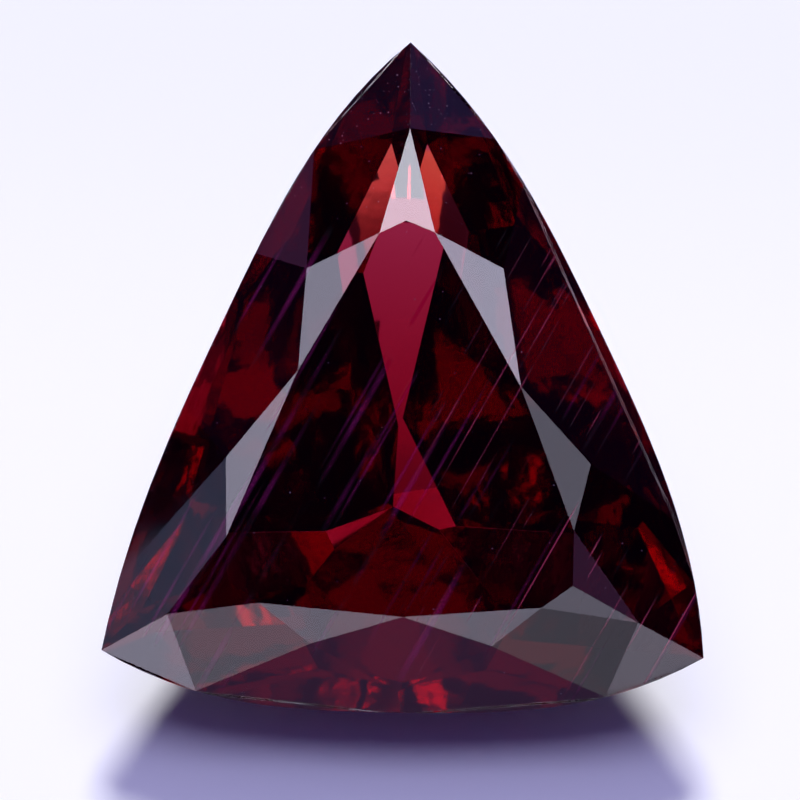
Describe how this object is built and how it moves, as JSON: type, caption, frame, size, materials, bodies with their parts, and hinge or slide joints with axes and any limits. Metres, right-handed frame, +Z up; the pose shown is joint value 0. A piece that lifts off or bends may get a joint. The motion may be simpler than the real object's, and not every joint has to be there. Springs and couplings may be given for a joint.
{
  "type": "faceted gemstone",
  "caption": "Trillion cut red spinel: bowed triangular outline, faceted crown around a large flat table, thin girdle and pointed pavilion, lying on a pavilion facet.",
  "frame": {"origin": "middle of the stone's footprint box, on the surface that it rests on", "axes": "+Z up from the surface, -Y towards the side that the table faces, +X to the right seen from there"},
  "size_m": [0.01, 0.0086, 0.0084],
  "materials": {
    "spinel": "polished transparent deep red stone"
  },
  "bodies": {
    "root": {"spinel": "spinel"}
  },
  "joints": []
}
